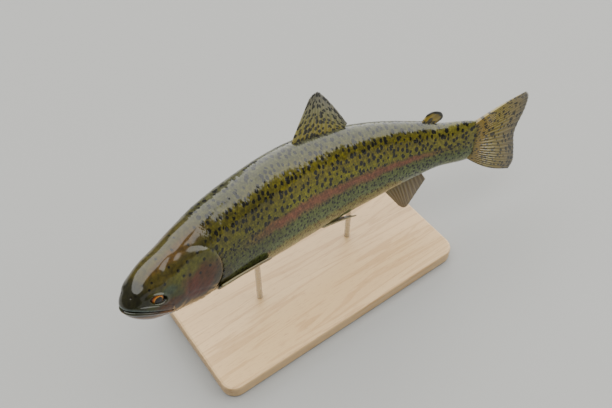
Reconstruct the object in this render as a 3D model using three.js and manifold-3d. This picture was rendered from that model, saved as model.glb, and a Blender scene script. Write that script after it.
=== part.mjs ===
// Rainbow trout, a life-size still model on a display stand.
// Millimetres, +Z up. The fish's head points to -X and its left side to -Y. The origin is the
// centre of the underside of the stand's base.
//
// The fish is first modelled straight, in its own frame: x runs from the snout to the tail, y is
// positive on its right side and z is up. Every piece is cut there, and then bend() lays the
// finished piece along the curved spine.
import * as THREE from 'three';
import { mergeVertices } from 'three/addons/utils/BufferGeometryUtils.js';
import Module from 'manifold-3d';

const wasm = await Module();
wasm.setup();

// Driving dimensions
const LENGTH = 410;
const BODY_END = 0.868 * LENGTH;
const GAP = 0.3;
const FACET_TOLERANCE = 0.03;
const SNOUT = new THREE.Vector3(-172, -28, 142);
const TAIL_DOWN = THREE.MathUtils.degToRad(9.5);
const LEAN = THREE.MathUtils.degToRad(12);
const SECTION_POWER = 2.2;

// Outline of the straight body as shares of the length: [place, height or half-width].
const BACK = [[0, 0], [0.01, 0.0203], [0.05, 0.0508], [0.12, 0.0685], [0.2, 0.0885], [0.28, 0.0975],
  [0.41, 0.1068], [0.5, 0.1015], [0.6, 0.0885], [0.72, 0.0655], [0.79, 0.0525], [0.868, 0.0525]];
const BELLY = [[0, 0], [0.01, 0.0188], [0.05, 0.0457], [0.12, 0.0647], [0.2, 0.081], [0.28, 0.0985],
  [0.42, 0.1075], [0.5, 0.104], [0.6, 0.0925], [0.72, 0.0655], [0.79, 0.05], [0.868, 0.0475]];
const FLANK = [[0, 0], [0.01, 0.019], [0.05, 0.0315], [0.12, 0.0395], [0.2, 0.0455],
  [0.36, 0.05], [0.5, 0.046], [0.65, 0.0345], [0.79, 0.02], [0.868, 0.009]];

// The head rises a little towards the snout, and the snout is tucked in along the spine.
const HEAD_LIFT = 2.5;
const LIFT_REACH = 95;
const SNOUT_TUCK = 4.9;
const TUCK_REACH = 60;

// Heading of the spine in degrees: at the snout, then each turn with the stretch it takes.
const HEADING_AT_SNOUT = 16.6;
const TURNS = [[-5.4, 0.17, 0.34], [-16.5, 0.28, 0.65], [-12.5, 0.55, 0.88], [12, 0.84, 1.0]];

// Head
const EYE = { x: 21.2, z: 3.2, radius: 6, depth: 4.6, outer: 13 };
const GILL = { x: 50, z: -4, along: 26, up: 27 };
const COVER_DEPTH = 3.2;
const LIP_DEPTH = 1.8;

// Stand
const BASE = { length: 240, width: 110, height: 14, corner: 12, edge: 2 };
const ROD_RADIUS = 2.5;
const ROD_PLACES = { stand_rod_front: 0.31, stand_rod_rear: 0.56 };

const COLOURS = {
  back: [0x4c4a1e, 0.35, 0],
  head: [0x4a4420, 0.3, 0],
  cheek: [0x7d5646, 0.3, 0],
  jaw: [0x8d8253, 0.35, 0],
  fin: [0x7c7450, 0.4, 0],
  eye: [0xb98a35, 0.1, 0],
  wood: [0xd2b184, 0.5, 0],
  steel: [0xb9bcc0, 0.3, 1],
};

// Smooth curve without overshoot through [place, value] pairs. It is worked out over the square
// root of the place, which makes the snout blunt.
function profile(points) {
  const q = points.map(([place]) => Math.sqrt(place));
  const v = points.map(([, value]) => value);
  const last = q.length - 1;
  const rise = q.slice(1).map((next, i) => (v[i + 1] - v[i]) / (next - q[i]));
  const slope = q.map((_, i) => {
    if (i === 0) return rise[0];
    if (i === last) return rise[last - 1];
    if (rise[i - 1] * rise[i] <= 0) return 0;
    return 2 / (1 / rise[i - 1] + 1 / rise[i]);
  });
  return (x) => {
    const at = Math.sqrt(Math.min(Math.max(x / LENGTH, 0), points[last][0]));
    let i = 0;
    while (i < last - 1 && at > q[i + 1]) i += 1;
    const span = q[i + 1] - q[i];
    const t = (at - q[i]) / span;
    const start = v[i] * (1 + 2 * t) * (1 - t) ** 2 + slope[i] * span * t * (1 - t) ** 2;
    const end = v[i + 1] * t * t * (3 - 2 * t) + slope[i + 1] * span * t * t * (t - 1);
    return (start + end) * LENGTH;
  };
}
const back = profile(BACK);
const belly = profile(BELLY);
const flank = profile(FLANK);

// Spine: centre and direction every LENGTH / SPINE_STEPS from the snout.
const SPINE_STEPS = 410;
function heading(share) {
  let degrees = HEADING_AT_SNOUT;
  for (const [turn, from, to] of TURNS) degrees += turn * THREE.MathUtils.smoothstep(share, from, to);
  return THREE.MathUtils.degToRad(degrees);
}
function direction(share) {
  const turn = heading(share);
  const level = Math.cos(TAIL_DOWN);
  return new THREE.Vector3(level * Math.cos(turn), level * Math.sin(turn), -Math.sin(TAIL_DOWN));
}
const spine = [SNOUT.clone()];
for (let i = 0; i < SPINE_STEPS; i += 1) {
  const middle = direction((i + 0.5) / SPINE_STEPS);
  spine.push(spine[i].clone().addScaledVector(middle, LENGTH / SPINE_STEPS));
}

// Straight frame to the posed fish.
function bend(point) {
  const x = point.x + SNOUT_TUCK * Math.max(1 - point.x / TUCK_REACH, 0);
  const share = x / LENGTH;
  const along = direction(Math.max(share, 0));
  const step = THREE.MathUtils.clamp(Math.floor(share * SPINE_STEPS), 0, SPINE_STEPS - 1);
  const rest = x - (step * LENGTH) / SPINE_STEPS;
  const right = new THREE.Vector3(0, 0, 1).cross(along).normalize();
  const up = along.clone().cross(right);
  const leanRight = right.clone().multiplyScalar(Math.cos(LEAN)).addScaledVector(up, -Math.sin(LEAN));
  const leanUp = up.multiplyScalar(Math.cos(LEAN)).addScaledVector(right, Math.sin(LEAN));
  const lift = HEAD_LIFT * Math.max(1 - point.x / LIFT_REACH, 0) ** 2;
  return spine[step].clone().addScaledVector(along, rest)
    .addScaledVector(leanRight, point.y).addScaledVector(leanUp, point.z + lift);
}

// Moves every vertex of a geometry by a function of its position.
function moved(geometry, move) {
  const position = geometry.attributes.position;
  const point = new THREE.Vector3();
  for (let i = 0; i < position.count; i += 1) {
    point.fromBufferAttribute(position, i);
    position.setXYZ(i, ...move(point.clone()));
  }
  return geometry;
}

function solid(geometry) {
  geometry.deleteAttribute('normal');
  geometry.deleteAttribute('uv');
  const merged = mergeVertices(geometry, 1e-4);
  return new wasm.Manifold(new wasm.Mesh({
    numProp: 3,
    vertProperties: new Float32Array(merged.attributes.position.array),
    triVerts: new Uint32Array(merged.index.array),
  }));
}

function geometryOf(manifold) {
  const mesh = manifold.simplify(FACET_TOLERANCE).getMesh();
  const geometry = new THREE.BufferGeometry();
  geometry.setAttribute('position', new THREE.BufferAttribute(new Float32Array(mesh.vertProperties), 3));
  geometry.setIndex(new THREE.BufferAttribute(new Uint32Array(mesh.triVerts), 1));
  return geometry;
}

// The straight body. A sphere's rings become the body's cross-sections, closer together towards
// the snout, and its last pole closes the tail stalk with a flat end. grow moves the skin out.
const RINGS = 36;
const AROUND = 26;
function bodySolid(grow = 0) {
  const sphere = new THREE.SphereGeometry(1, AROUND, RINGS);
  sphere.rotateZ(Math.PI / 2);
  return solid(moved(sphere, (p) => {
    const ring = Math.round((Math.acos(THREE.MathUtils.clamp(-p.x, -1, 1)) / Math.PI) * RINGS);
    const share = Math.min(ring / (RINGS - 1), 1);
    const x = BODY_END * share ** 1.5;
    if (ring === 0) return [-grow, 0, 0];
    if (ring === RINGS) return [x + grow, 0, 0];
    const angle = Math.atan2(p.z, p.y);
    const side = Math.sign(Math.cos(angle)) * Math.abs(Math.cos(angle)) ** (2 / SECTION_POWER);
    const rise = Math.sign(Math.sin(angle)) * Math.abs(Math.sin(angle)) ** (2 / SECTION_POWER);
    const half = Math.max(flank(x) + grow, 0.1);
    const height = Math.max((rise > 0 ? back(x) : belly(x)) + grow, 0.1);
    const end = ring === RINGS - 1 ? grow : 0;
    return [x + end, side * half, rise * height];
  }));
}

// A side-view outline (x, z) run through the fish from its left to its right.
function prism(outline, from = -70, to = 70) {
  const settings = { depth: to - from, bevelEnabled: false };
  const geometry = new THREE.ExtrudeGeometry(new THREE.Shape(outline), settings);
  geometry.rotateX(Math.PI / 2);
  geometry.translate(0, to, 0);
  return solid(geometry);
}

// The same outline with each corner moved out by a distance, for the gap around a piece.
function grown(outline, distance) {
  const turn = THREE.ShapeUtils.isClockWise(outline) ? -1 : 1;
  return outline.map((corner, i) => {
    const before = outline[(i + outline.length - 1) % outline.length];
    const after = outline[(i + 1) % outline.length];
    const one = corner.clone().sub(before).normalize();
    const two = after.clone().sub(corner).normalize();
    const normal = new THREE.Vector2(one.y + two.y, -one.x - two.x).normalize();
    const reach = distance / Math.max(normal.dot(new THREE.Vector2(one.y, -one.x)), 0.4);
    return corner.clone().addScaledVector(normal, turn * reach);
  });
}

function arc(centre, from, to, points) {
  const list = [];
  for (let i = 0; i <= points; i += 1) {
    const angle = THREE.MathUtils.degToRad(from + ((to - from) * i) / points);
    const x = centre.x + centre.along * Math.cos(angle);
    list.push(new THREE.Vector2(x, centre.z + centre.up * Math.sin(angle)));
  }
  return list;
}
const at = (x, z) => new THREE.Vector2(x, z);
const curve = (points, steps) => new THREE.SplineCurve(points).getPoints(steps);

// Side-view outlines of the head's pieces
const gillEdge = arc(GILL, 62, -82, 10);
const headOutline = [at(-20, 90), at(64, 90), ...gillEdge, at(53, -70), at(-20, -70)];
const coverOutline = [...gillEdge, ...curve([at(51, -29), at(46, -14), at(47, 2), at(54, 16)], 6)];
const mouthLine = curve([at(-4, 1.2), at(4, 0), at(13, -4), at(24, -9.8), at(31, -13.6)], 8);
const jawOutline = [...mouthLine, ...curve([at(40, -20), at(44, -40)], 2), at(-4, -40)];
const lipOutline = [
  ...curve([at(4, 2.6), at(12.5, -0.6), at(22, -5.2), at(32, -10.6)], 6),
  ...curve([at(31.5, -15), at(24, -11.4), at(13, -5.4), at(4, -1.2)], 6),
];

const body = bodySolid();
const clearOfBody = bodySolid(GAP);

function sideShell(outline, depth, sign) {
  const half = sign < 0 ? prism(outline, -70, -1) : prism(outline, 1, 70);
  return half.subtract(bodySolid(-depth));
}

function eyeBall(sign, grow = 0) {
  const ball = new THREE.SphereGeometry(1, 18, 12);
  ball.scale(EYE.radius + grow, EYE.depth + grow, EYE.radius + grow);
  ball.translate(EYE.x, sign * (EYE.outer - EYE.depth), EYE.z);
  return solid(ball);
}

// Head, jaw, gill covers and eyes
const pieces = {};
const wholeHead = body.intersect(prism(headOutline));
let head = wholeHead.subtract(prism(grown(jawOutline, GAP)));
let jaw = wholeHead.intersect(prism(jawOutline));
for (const [name, sign] of [['left', -1], ['right', 1]]) {
  const cover = sideShell(coverOutline, COVER_DEPTH, sign);
  const lip = sideShell(lipOutline, LIP_DEPTH, sign);
  pieces[`gill_cover_${name}`] = [body.intersect(cover), 'cheek'];
  pieces[`upper_lip_${name}`] = [body.intersect(lip), 'jaw'];
  pieces[`eye_${name}`] = [eyeBall(sign), 'eye'];
  const lipRoom = sideShell(grown(lipOutline, GAP), LIP_DEPTH + GAP, sign);
  head = head.subtract(sideShell(grown(coverOutline, GAP), COVER_DEPTH + GAP, sign));
  head = head.subtract(lipRoom).subtract(eyeBall(sign, GAP));
  jaw = jaw.subtract(lipRoom);
}
pieces.head = [head, 'head'];
pieces.lower_jaw = [jaw, 'jaw'];

// Trunk and tail stalk, parted by thin cuts across the body
const TRUNK_CUT = 0.43 * LENGTH;
const STALK_CUT = 0.7 * LENGTH;
const slab = (from, to) => prism([at(from, -90), at(to, -90), at(to, 90), at(from, 90)]);
const behindHead = body.subtract(prism(grown(headOutline, GAP)));
pieces.trunk_front = [behindHead.intersect(slab(0, TRUNK_CUT)), 'back'];
pieces.trunk_rear = [behindHead.intersect(slab(TRUNK_CUT + GAP, STALK_CUT)), 'back'];
pieces.tail_stalk = [behindHead.intersect(slab(STALK_CUT + GAP, LENGTH)), 'back'];

// A fin is a thin plate ruled by straight rays from its root line to its outer margin, both
// spline curves in the fin's own plane. It thins from root to margin and towards both edges. bow
// swells the outer rays of a tail fin away from its middle.
function finPlate({ root, margin, thick, thin, bow = 0, columns = 9, rows = 6 }) {
  const rootCurve = new THREE.SplineCurve(root);
  const marginCurve = new THREE.SplineCurve(margin);
  const rootLine = root.at(-1).clone().sub(root[0]);
  const facing = -Math.sign(rootLine.cross(margin[0].clone().sub(root[0])));
  const box = new THREE.BoxGeometry(1, 1, 1, columns, rows, 1);
  return moved(box, (p) => {
    const across = p.x + 0.5;
    const out = p.y + 0.5;
    const start = rootCurve.getPoint(across);
    const end = marginCurve.getPoint(across);
    const place = start.lerp(end, out);
    place.y += bow * Math.sin(Math.PI * out) * (1 - 2 * across);
    const thickness = (thick + (thin - thick) * out ** 0.6) * (0.62 + 0.38 * Math.sin(Math.PI * across));
    return [place.x, facing * p.z * Math.max(thickness, 0.7), place.y];
  });
}

function medianFin(spec) {
  return solid(finPlate(spec)).subtract(clearOfBody);
}

// A paired fin is made in the plane x, z with its root at the origin. It is spread out from the
// flank by a turn about its root line, then set at its place on the body.
function pairedFin(spec, sign) {
  const plate = finPlate(spec);
  const spread = new THREE.Matrix4().makeRotationX(-sign * spec.spread);
  const outward = new THREE.Matrix4().makeRotationZ(sign * spec.outward);
  const place = new THREE.Matrix4().makeTranslation(spec.x, sign * spec.y, spec.z);
  plate.applyMatrix4(place.multiply(outward).multiply(spread));
  return solid(plate).subtract(clearOfBody);
}

const topAt = (x, sink = 2.5) => at(x, back(x) - sink);
const bottomAt = (x, sink = 2.5) => at(x, sink - belly(x));

pieces.dorsal_fin = [medianFin({
  root: [topAt(168), topAt(194), topAt(219)],
  margin: [at(187, 74), at(191, 77.3), at(195.5, 76.6), at(208, 62.5), at(222, 43)],
  thick: 3.4, thin: 0.8, columns: 12, rows: 6,
}), 'fin'];
pieces.adipose_fin = [medianFin({
  root: [topAt(294, 3), topAt(299, 3), topAt(304, 3)],
  margin: [at(300, 32.2), at(306.5, 35), at(313.5, 33.4), at(316.6, 27.6), at(311.5, 24)],
  thick: 3, thin: 1.4, columns: 8, rows: 4,
}), 'fin'];
pieces.anal_fin = [medianFin({
  root: [bottomAt(264), bottomAt(283), bottomAt(303)],
  margin: [at(287, -57), at(292, -60), at(297, -58), at(305, -46), at(311, -33)],
  thick: 3.2, thin: 0.8, columns: 10, rows: 5,
}), 'fin'];
pieces.caudal_fin = [medianFin({
  root: [at(346, 21.5), at(356.6, 12), at(357.4, 1), at(356.6, -10), at(346, -19)],
  margin: [
    at(403.5, 40.2), at(407.8, 35), at(406, 23), at(399.5, 2),
    at(404.5, -18), at(407, -31), at(402.5, -39),
  ],
  thick: 8.2, thin: 1, bow: 3.6, columns: 16, rows: 8,
}), 'fin'];

const PECTORAL = {
  root: [at(0, 4.5), at(0, -4.5)],
  margin: [at(44, 1), at(52, -4), at(51, -12), at(40, -19), at(20, -14)],
  thick: 3, thin: 0.8, columns: 8, rows: 6,
  x: 74, y: 13.5, z: -24, spread: 0.75, outward: 0.16,
};
const PELVIC = {
  root: [at(0, 3), at(3, -4)],
  margin: [at(35, 0), at(39.5, -4), at(39, -10), at(30, -15), at(14, -12)],
  thick: 2.6, thin: 0.8, columns: 7, rows: 5,
  x: 190, y: 9, z: -38.6, spread: 1.0, outward: 0.14,
};
for (const [name, sign] of [['left', -1], ['right', 1]]) {
  pieces[`pectoral_fin_${name}`] = [pairedFin(PECTORAL, sign), 'fin'];
  pieces[`pelvic_fin_${name}`] = [pairedFin(PELVIC, sign), 'fin'];
}

const trout = new THREE.Group();
trout.name = 'rainbow_trout';

function addMesh(name, geometry, colour) {
  const [color, roughness, metalness] = COLOURS[colour];
  const mesh = new THREE.Mesh(geometry, new THREE.MeshStandardMaterial({ color, roughness, metalness }));
  mesh.name = name;
  trout.add(mesh);
}

for (const [name, [straight, colour]] of Object.entries(pieces)) {
  addMesh(name, moved(geometryOf(straight), bend), colour);
}

// Stand: a base with soft edges and two upright rods that stop just short of the belly
function baseGeometry() {
  const x = BASE.length / 2 - BASE.edge;
  const y = BASE.width / 2 - BASE.edge;
  const r = BASE.corner - BASE.edge;
  const shape = new THREE.Shape();
  shape.absarc(x - r, y - r, r, 0, Math.PI / 2);
  shape.absarc(r - x, y - r, r, Math.PI / 2, Math.PI);
  shape.absarc(r - x, r - y, r, Math.PI, 1.5 * Math.PI);
  shape.absarc(x - r, r - y, r, 1.5 * Math.PI, 2 * Math.PI);
  const geometry = new THREE.ExtrudeGeometry(shape, {
    depth: BASE.height - 2 * BASE.edge,
    bevelThickness: BASE.edge,
    bevelSize: BASE.edge,
    bevelSegments: 2,
    curveSegments: 4,
  });
  geometry.translate(0, 0, BASE.edge);
  return geometry;
}

const posedBody = solid(moved(geometryOf(clearOfBody), bend));
function rodGeometry(share) {
  const top = bend(new THREE.Vector3(share * LENGTH, 0, 0));
  const foot = BASE.height + GAP;
  const rod = new THREE.CylinderGeometry(ROD_RADIUS, ROD_RADIUS, top.z - foot, 20);
  rod.rotateX(Math.PI / 2);
  rod.translate(top.x, top.y, (top.z + foot) / 2);
  return geometryOf(solid(rod).subtract(posedBody));
}

addMesh('stand_base', geometryOf(solid(baseGeometry())), 'wood');
for (const [name, share] of Object.entries(ROD_PLACES)) addMesh(name, rodGeometry(share), 'steel');

export default trout;
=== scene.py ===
"""Rainbow trout, a life-size display model: skin, scales, fins, eyes, stand and studio.

Sizes are in millimetres in the fish's own straight frame: x from the snout to the tail, y
positive on its right side, z up. bend() lays finished points along the curved spine and turns
them to metres.
"""

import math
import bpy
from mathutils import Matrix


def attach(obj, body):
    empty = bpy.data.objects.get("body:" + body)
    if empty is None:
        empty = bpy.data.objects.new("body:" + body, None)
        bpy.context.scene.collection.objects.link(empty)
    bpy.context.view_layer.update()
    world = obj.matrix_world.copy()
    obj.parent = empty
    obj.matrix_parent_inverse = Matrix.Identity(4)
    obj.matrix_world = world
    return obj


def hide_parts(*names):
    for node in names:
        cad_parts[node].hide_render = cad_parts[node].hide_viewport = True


bl_info = {
    "name": "Rainbow trout display model",
    "version": (1, 0, 0),
    "blender": (4, 5, 0),
    "location": "3D View > Sidebar > Trout",
    "description": "Builds the skin, scales, fins, eyes, stand and studio of a trout model",
    "category": "Object",
}

from functools import partial

import bpy
import numpy as np
from bpy.props import FloatProperty, FloatVectorProperty, IntProperty, PointerProperty
from mathutils import Matrix, Vector

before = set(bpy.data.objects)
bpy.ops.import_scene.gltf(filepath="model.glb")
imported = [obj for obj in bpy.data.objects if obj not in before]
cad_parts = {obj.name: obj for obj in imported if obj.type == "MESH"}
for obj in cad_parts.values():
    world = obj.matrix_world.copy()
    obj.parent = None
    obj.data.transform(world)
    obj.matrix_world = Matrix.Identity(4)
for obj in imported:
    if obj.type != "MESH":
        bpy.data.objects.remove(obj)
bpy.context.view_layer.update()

# ---- Driving dimensions ----
# Body and fins have the solids' own sizes; the eyeball is broader than the solid's and slanted.
LENGTH = 410
BODY_END = 0.868 * LENGTH
SNOUT = np.array([-172.0, -28.0, 142.0])
TAIL_DOWN = math.radians(9.5)
LEAN = math.radians(12)
SECTION_POWER = 2.2
# Outline of the back, the belly and the flank: share of the length, height over the axis
BACK = [(0, 0), (0.01, 0.0203), (0.05, 0.0508), (0.12, 0.0685), (0.2, 0.0885), (0.28, 0.0975),
        (0.41, 0.1068), (0.5, 0.1015), (0.6, 0.0885), (0.72, 0.0655), (0.79, 0.0525),
        (0.868, 0.0525)]
BELLY = [(0, 0), (0.01, 0.0188), (0.05, 0.0457), (0.12, 0.0647), (0.2, 0.081), (0.28, 0.0985),
         (0.42, 0.1075), (0.5, 0.104), (0.6, 0.0925), (0.72, 0.0655), (0.79, 0.05), (0.868, 0.0475)]
FLANK = [(0, 0), (0.01, 0.019), (0.05, 0.0315), (0.12, 0.0395), (0.2, 0.0455),
         (0.36, 0.05), (0.5, 0.046), (0.65, 0.0345), (0.79, 0.02), (0.868, 0.009)]
HEAD_LIFT, LIFT_REACH = 2.5, 95
SNOUT_TUCK, TUCK_REACH = 4.9, 60
# Heading of the spine in degrees, and its turns: degrees, from and to which share of the length
HEADING_AT_SNOUT = 16.6
TURNS = [(-5.4, 0.17, 0.34), (-16.5, 0.28, 0.65), (-12.5, 0.55, 0.88), (12, 0.84, 1.0)]
SPINE_STEPS = 410

# The flesh sinks a little into the tail fin's root
STALK_SINK, SINK_START = 1.3, 340
# Low swells of the flesh: height in mm, waves along and round the body in radians per mm, phase
SWELLS = [(0.11, 0.23, 0.1, 0.6), (0.02, 0.5, -0.2, 2.1), (0.02, 0.35, 0.95, 0.0)]

# Head, in the side view (x, z)
HEAD_END = 86
EYE_X, EYE_Z, EYE_RADIUS, EYE_DEPTH = 21.2, 2.9, 6.7, 4.6
EYE_OUTER, EYE_SLANT = 13.1, 0.17
ORBIT_X, ORBIT_Z, ORBIT_ALONG, ORBIT_UP = 21, 2.2, 5.5, 2.9
ORBIT_TILT = math.radians(-24)
GILL_X, GILL_Z, GILL_ALONG, GILL_UP = 50, -4, 26, 27
MOUTH = [(-4, 1.2), (4, 0), (13, -4), (24, -9.8), (31, -13.6)]
LIP_TOP = [(4, 3.4), (12.5, 0.8), (22, -3.6), (31.5, -9.4)]
CHEEK_EDGE = [(52, 15), (47.5, 6), (45.5, -4), (43.5, -12), (37, -18.5), (27, -21)]
COVER_SEAM = [(47, -9), (56, -11.5), (65, -15), (71, -20)]
BROW = [(10, 10.5), (18, 12), (27, 11.5), (36, 13)]
MOUTH_CORNER = [(30.5, -14.8), (33, -12.6), (32.2, -9.6)]

# Camera, in the frame
AIM = Vector((-0.0224, -0.0213, 0.142))
DISTANCE = 0.495
LOOK_DOWN = math.radians(50)
LOOK_ASIDE = math.radians(36)
FOCAL_PIXELS, FRAME_WIDTH = 700, 612
SENSOR = 36


# ---- Shape functions ----
def smooth(low, high, x):
    """Zero below low, one above high and an S-curve between."""
    t = np.clip((x - low) / (high - low), 0, 1)
    return t * t * (3 - 2 * t)


def hump(distance, width):
    """A bell curve of that half-width."""
    return np.exp(-((distance / width) ** 2))


def profile(pairs):
    """A smooth curve without overshoot through (place, value) pairs, worked out over the square
    root of the place so that the snout is blunt: cubic pieces whose slopes are the harmonic
    means of the neighbouring rises."""
    place, value = np.array(pairs, float).T
    q = np.sqrt(place)
    rise = np.diff(value) / np.diff(q)
    slope = np.concatenate([rise[:1], np.zeros(len(q) - 2), rise[-1:]])
    same = rise[:-1] * rise[1:] > 0
    total = np.where(same, rise[:-1] + rise[1:], 1)
    slope[1:-1] = np.where(same, 2 * rise[:-1] * rise[1:] / total, 0)

    def curve(x):
        at = np.sqrt(np.clip(np.asarray(x, float) / LENGTH, 0, place[-1]))
        i = np.clip(np.searchsorted(q, at, side="right") - 1, 0, len(q) - 2)
        span = q[i + 1] - q[i]
        t = (at - q[i]) / span
        start = value[i] * (1 + 2 * t) * (1 - t) ** 2 + slope[i] * span * t * (1 - t) ** 2
        end = value[i + 1] * t * t * (3 - 2 * t) + slope[i + 1] * span * t * t * (t - 1)
        return (start + end) * LENGTH

    return curve


back, belly, flank = profile(BACK), profile(BELLY), profile(FLANK)


def direction(share):
    """Unit direction of the spine at a share of the length: its heading eases through each turn,
    and it runs down towards the tail."""
    degrees = HEADING_AT_SNOUT + sum(turn * smooth(low, high, share) for turn, low, high in TURNS)
    heading = np.radians(degrees)
    level = math.cos(TAIL_DOWN)
    down = np.full_like(heading, -math.sin(TAIL_DOWN))
    return np.stack([level * np.cos(heading), level * np.sin(heading), down], -1)


STEP = LENGTH / SPINE_STEPS
RUNS = direction((np.arange(SPINE_STEPS) + 0.5) / SPINE_STEPS) * STEP
SPINE = SNOUT + np.vstack([np.zeros(3), np.cumsum(RUNS, 0)])


def bend(points):
    """Straight frame to the posed fish, in metres: each point keeps its distances from the spine,
    measured in the spine's cross-section there, which leans with the fish."""
    points = np.asarray(points, float)
    x = points[..., 0] + SNOUT_TUCK * np.maximum(1 - points[..., 0] / TUCK_REACH, 0)
    share = x / LENGTH
    along = direction(np.maximum(share, 0))
    step = np.clip(np.floor(share * SPINE_STEPS), 0, SPINE_STEPS - 1).astype(int)
    rest = x - step * STEP
    right = np.cross([0.0, 0.0, 1.0], along)
    right /= np.linalg.norm(right, axis=-1, keepdims=True)
    up = np.cross(along, right)
    lean_right = right * math.cos(LEAN) - up * math.sin(LEAN)
    lean_up = up * math.cos(LEAN) + right * math.sin(LEAN)
    lift = HEAD_LIFT * np.maximum(1 - points[..., 0:1] / LIFT_REACH, 0) ** 2
    place = SPINE[step] + along * rest[..., None]
    place = place + lean_right * points[..., 1:2] + lean_up * (points[..., 2:3] + lift)
    return place * 0.001


def body_point(x, turn, grow=0.0):
    """Point of the body's surface. turn goes round the section from the back (0) down the left
    side to the belly (pi) and up the right side. The section is a superellipse whose heights
    above and below the axis differ."""
    sine, cosine = np.sin(turn), np.cos(turn)
    side = np.sign(sine) * np.abs(sine) ** (2 / SECTION_POWER)
    rise = np.sign(cosine) * np.abs(cosine) ** (2 / SECTION_POWER)
    half = flank(x) + grow
    height = np.where(cosine > 0, back(x), belly(x)) + grow
    return np.stack([x + 0 * turn, -side * half, rise * height], -1)


def spline(points, t):
    """Catmull-Rom curve through the points at t from 0 to 1."""
    points = np.array(points, float)
    padded = np.vstack([2 * points[0] - points[1], points, 2 * points[-1] - points[-2]])
    at = np.clip(t, 0, 1) * (len(points) - 1)
    i = np.clip(np.floor(at).astype(int), 0, len(points) - 2)
    f = (at - i)[..., None]
    a, b, c, d = padded[i], padded[i + 1], padded[i + 2], padded[i + 3]
    square, cube = 2 * a - 5 * b + 4 * c - d, 3 * b - a - 3 * c + d
    return 0.5 * (2 * b + (c - a) * f + square * f**2 + cube * f**3)


# The body as a surface of place x and girth share: 0 on the back, 1 on the belly, and the sign
# tells the side, plus for the left. Shares are equal lengths of skin round each section.
TABLE_X = np.linspace(0.2, BODY_END, 500)
TABLE_TURN = np.linspace(0, math.pi, 181)
TABLE_SHARE = np.linspace(0, 1, 129)
SECTIONS = body_point(TABLE_X[:, None], TABLE_TURN[None, :])
SKIN_RUN = np.linalg.norm(np.diff(SECTIONS, axis=1), axis=-1).cumsum(1)
SKIN_RUN = np.hstack([np.zeros((len(TABLE_X), 1)), SKIN_RUN])
HALF_GIRTH = SKIN_RUN[:, -1]
# All sections are read in one run: the section's number, plus the share in it, kept below one
RING, BELOW_ONE = np.arange(len(TABLE_X))[:, None], 0.999999
TURN_AT = np.interp((RING + TABLE_SHARE * BELOW_ONE).ravel(),
                    (RING + SKIN_RUN / HALF_GIRTH[:, None] * BELOW_ONE).ravel(),
                    np.tile(TABLE_TURN, len(TABLE_X))).reshape(len(TABLE_X), -1)


def half_girth(x):
    """Length of skin from the back to the belly on one side, in mm."""
    return np.interp(x, TABLE_X, HALF_GIRTH)


def swell(x, share):
    """Low swells of the flesh, in mm: sine waves that cross at different angles, full on the head,
    none at the snout and low on the trunk."""
    run = np.abs(share) * half_girth(x)
    wave = sum(high * np.sin(along * x + around * run + phase)
               for high, along, around, phase in SWELLS)
    return wave * smooth(8, 30, x) * (1 - 0.82 * smooth(60, 100, x))


def on_body(x, share, grow=0.0):
    """Point of the body at a place and girth share: the turn is read between the lines of the
    table of equal skin lengths."""
    across = np.clip((x - TABLE_X[0]) / (TABLE_X[1] - TABLE_X[0]), 0, len(TABLE_X) - 1.001)
    down = np.clip(np.abs(share), 0, 0.99999) * (len(TABLE_SHARE) - 1)
    i, j = across.astype(int), down.astype(int)
    f, g = across - i, down - j
    near = TURN_AT[i, j] * (1 - g) + TURN_AT[i, j + 1] * g
    far = TURN_AT[i + 1, j] * (1 - g) + TURN_AT[i + 1, j + 1] * g
    turn = near * (1 - f) + far * f
    grow = grow + swell(x, share) - STALK_SINK * smooth(SINK_START, BODY_END, x)
    return body_point(x, np.where(share < 0, 2 * math.pi - turn, turn), grow)


def distance_to(x, z, path, steps=24):
    """Distance in the side view from each (x, z) to a spline path."""
    nodes = spline(path, np.linspace(0, 1, steps + 1))
    best = np.full(np.shape(x), 1e9)
    for (x0, z0), (x1, z1) in zip(nodes[:-1], nodes[1:]):
        dx, dz = x1 - x0, z1 - z0
        t = np.clip(((x - x0) * dx + (z - z0) * dz) / (dx * dx + dz * dz), 0, 1)
        best = np.minimum(best, np.hypot(x - x0 - t * dx, z - z0 - t * dz))
    return best


def line_height(x, path):
    """Height z of a spline path over x."""
    nodes = spline(path, np.linspace(0, 1, 60))
    return np.interp(x, nodes[:, 0], nodes[:, 1])


def gill_distance(x, z):
    """Distance behind the gill cover's rear edge, an ellipse; negative on the cover."""
    reach = np.hypot((x - GILL_X) / GILL_ALONG, (z - GILL_Z) / GILL_UP)
    return (reach - 1) * (GILL_ALONG + GILL_UP) / 2


# ---- Mesh helpers ----
def new_object(name, points, faces, uvs=None, values=None, sharp=None):
    """Mesh object from points, triangles or quads, per-corner UV maps and per-point values. An
    edge is sharp where sharp is true at both its ends."""
    mesh = bpy.data.meshes.new(name)
    mesh.from_pydata(points, [], faces, shade_flat=False)
    for key, value in (uvs or {}).items():
        layer = mesh.uv_layers.new(name=key)
        layer.data.foreach_set("uv", np.asarray(value, np.float32).ravel())
    if uvs:
        mesh.uv_layers.active = mesh.uv_layers[0]
        mesh.uv_layers[0].active_render = True
    for key, value in (values or {}).items():
        attribute = mesh.attributes.new(key, "FLOAT", "POINT")
        attribute.data.foreach_set("value", np.asarray(value, np.float32).ravel())
    if sharp is not None:
        ends = np.empty(len(mesh.edges) * 2, np.int32)
        mesh.edges.foreach_get("vertices", ends)
        edge = mesh.attributes.new("sharp_edge", "BOOLEAN", "EDGE")
        edge.data.foreach_set("value", sharp[ends.reshape(-1, 2)].all(1))
    obj = bpy.data.objects.new(name, mesh)
    bpy.context.scene.collection.objects.link(obj)
    return obj


def place_piece(obj, material, slot, *nodes):
    """Gives a piece its material, lets it ride on the frame and hides the nodes it stands for."""
    obj.data.materials.append(material)
    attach(obj, "root")
    if nodes:
        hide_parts(*nodes)


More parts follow.
